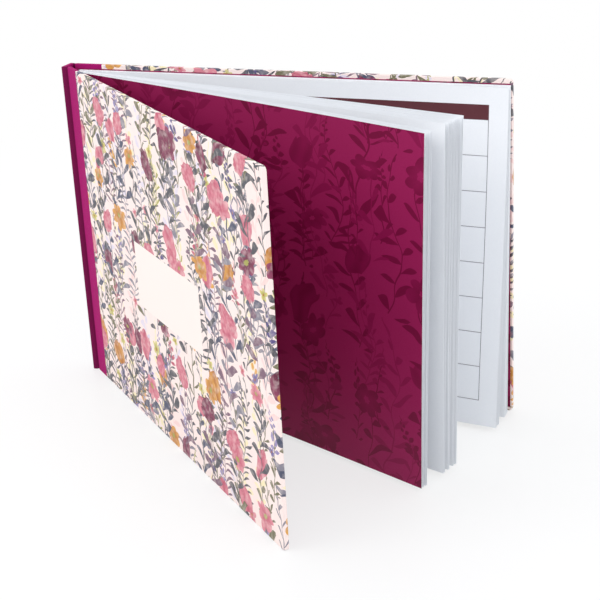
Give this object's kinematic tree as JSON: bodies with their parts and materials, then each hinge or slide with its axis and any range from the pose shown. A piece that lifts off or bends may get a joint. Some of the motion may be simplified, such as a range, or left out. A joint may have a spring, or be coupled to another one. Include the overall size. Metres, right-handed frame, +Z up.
{
  "type": "visitors book",
  "caption": "Landscape visitors book, quarter bound in cloth and patterned paper, standing open; its covers and sewn leaves turn at the spine so that it can be signed and shut.",
  "frame": {"origin": "centre of the base of the open book's box, on the surface it stands on", "axes": "+X along the rear cover from the spine to its fore-edge, +Y out of the rear cover's outer face, +Z up from tail to head"},
  "size_m": [0.214, 0.1488, 0.154],
  "materials": {
    "cover_paper": "matt printed covering paper, small all-over meadow flowers on a pale pink ground",
    "book_cloth": "fine plain-weave plum book cloth",
    "endpaper": "matt burgundy paper with a tone-on-tone leaf print",
    "page": "smooth cool-white writing paper",
    "greyboard": "raw greyboard",
    "thread": "waxed linen sewing thread",
    "mull": "starched open gauze",
    "kraft": "brown kraft lining paper"
  },
  "bodies": {
    "spine": {"spine_cloth": "book_cloth", "spine_inlay": "greyboard", "sewing_thread": "thread", "mull": "mull", "spine_lining": "kraft"},
    "front_cover": {"front_board": "greyboard", "front_cover_paper": "cover_paper", "front_joint_cloth": "book_cloth", "front_pastedown": "endpaper"},
    "rear_cover": {"rear_board": "greyboard", "rear_cover_paper": "cover_paper", "rear_joint_cloth": "book_cloth", "rear_pastedown": "endpaper"},
    "front_endleaf": {"front_flyleaf": "endpaper"},
    "section_1": {"signature_1_sheet_1": "page", "signature_1_sheet_2": "page"},
    "section_2": {"signature_2_sheet_1": "page", "signature_2_sheet_2": "page"},
    "section_3": {"signature_3_sheet_1": "page", "signature_3_sheet_2": "page"},
    "section_4": {"signature_4_sheet_1": "page", "signature_4_sheet_2": "page"},
    "section_5": {"signature_5_sheet_1": "page", "signature_5_sheet_2": "page"},
    "section_6": {"signature_6_sheet_1": "page", "signature_6_sheet_2": "page"},
    "section_7": {"signature_7_sheet_1": "page", "signature_7_sheet_2": "page"},
    "section_8": {"signature_8_sheet_1": "page", "signature_8_sheet_2": "page"},
    "rear_endleaf": {"rear_flyleaf": "endpaper"}
  },
  "joints": [
    {"name": "front_cover_hinge", "type": "hinge", "parent": "spine", "child": "front_cover", "pos_m": [-0.1037, 0.06537, 0.077], "axis": [0, 0, -1], "range_deg": [-41.6, 133.4]},
    {"name": "rear_cover_hinge", "type": "hinge", "parent": "spine", "child": "rear_cover", "pos_m": [-0.1037, 0.07454, 0.077], "axis": [0, 0, 1], "range_deg": [0, 175]},
    {"name": "front_flyleaf_turn", "type": "hinge", "parent": "spine", "child": "front_endleaf", "pos_m": [-0.1024, 0.06782, 0.077], "axis": [0, 0, -1], "range_deg": [-23.71, 76.01]},
    {"name": "signature_1_turn", "type": "hinge", "parent": "spine", "child": "section_1", "pos_m": [-0.10201, 0.06817, 0.077], "axis": [0, 0, -1], "range_deg": [-23.01, 73.77]},
    {"name": "signature_2_turn", "type": "hinge", "parent": "spine", "child": "section_2", "pos_m": [-0.10157, 0.06868, 0.077], "axis": [0, 0, -1], "range_deg": [-19.41, 62.22]},
    {"name": "signature_3_turn", "type": "hinge", "parent": "spine", "child": "section_3", "pos_m": [-0.10116, 0.06919, 0.077], "axis": [0, 0, -1], "range_deg": [-18.41, 59.01]},
    {"name": "signature_4_turn", "type": "hinge", "parent": "spine", "child": "section_4", "pos_m": [-0.10078, 0.0697, 0.077], "axis": [0, 0, -1], "range_deg": [-17.41, 55.81]},
    {"name": "signature_5_turn", "type": "hinge", "parent": "spine", "child": "section_5", "pos_m": [-0.10065, 0.07021, 0.077], "axis": [0, 0, -1], "range_deg": [-6.51, 20.85]},
    {"name": "signature_6_turn", "type": "hinge", "parent": "spine", "child": "section_6", "pos_m": [-0.1006, 0.07072, 0.077], "axis": [0, 0, -1], "range_deg": [-3.06, 9.79]},
    {"name": "signature_7_turn", "type": "hinge", "parent": "spine", "child": "section_7", "pos_m": [-0.10054, 0.07123, 0.077], "axis": [0, 0, -1], "range_deg": [-2.81, 8.99]},
    {"name": "signature_8_turn", "type": "hinge", "parent": "spine", "child": "section_8", "pos_m": [-0.1005, 0.07174, 0.077], "axis": [0, 0, -1], "range_deg": [-2.56, 8.19]},
    {"name": "rear_flyleaf_turn", "type": "hinge", "parent": "spine", "child": "rear_endleaf", "pos_m": [-0.10047, 0.07209, 0.077], "axis": [0, 0, -1], "range_deg": [-1.96, 6.26]}
  ],
  "couplings": [
    {"joint": "front_flyleaf_turn", "follows": "front_cover_hinge", "ratio": 0.56971},
    {"joint": "signature_1_turn", "follows": "front_cover_hinge", "ratio": 0.55288},
    {"joint": "signature_2_turn", "follows": "front_cover_hinge", "ratio": 0.46635},
    {"joint": "signature_3_turn", "follows": "front_cover_hinge", "ratio": 0.44231},
    {"joint": "signature_4_turn", "follows": "front_cover_hinge", "ratio": 0.41827},
    {"joint": "signature_5_turn", "follows": "front_cover_hinge", "ratio": 0.15625},
    {"joint": "signature_6_turn", "follows": "front_cover_hinge", "ratio": 0.073317},
    {"joint": "signature_7_turn", "follows": "front_cover_hinge", "ratio": 0.067308},
    {"joint": "signature_8_turn", "follows": "front_cover_hinge", "ratio": 0.061298},
    {"joint": "rear_flyleaf_turn", "follows": "front_cover_hinge", "ratio": 0.046875}
  ]
}
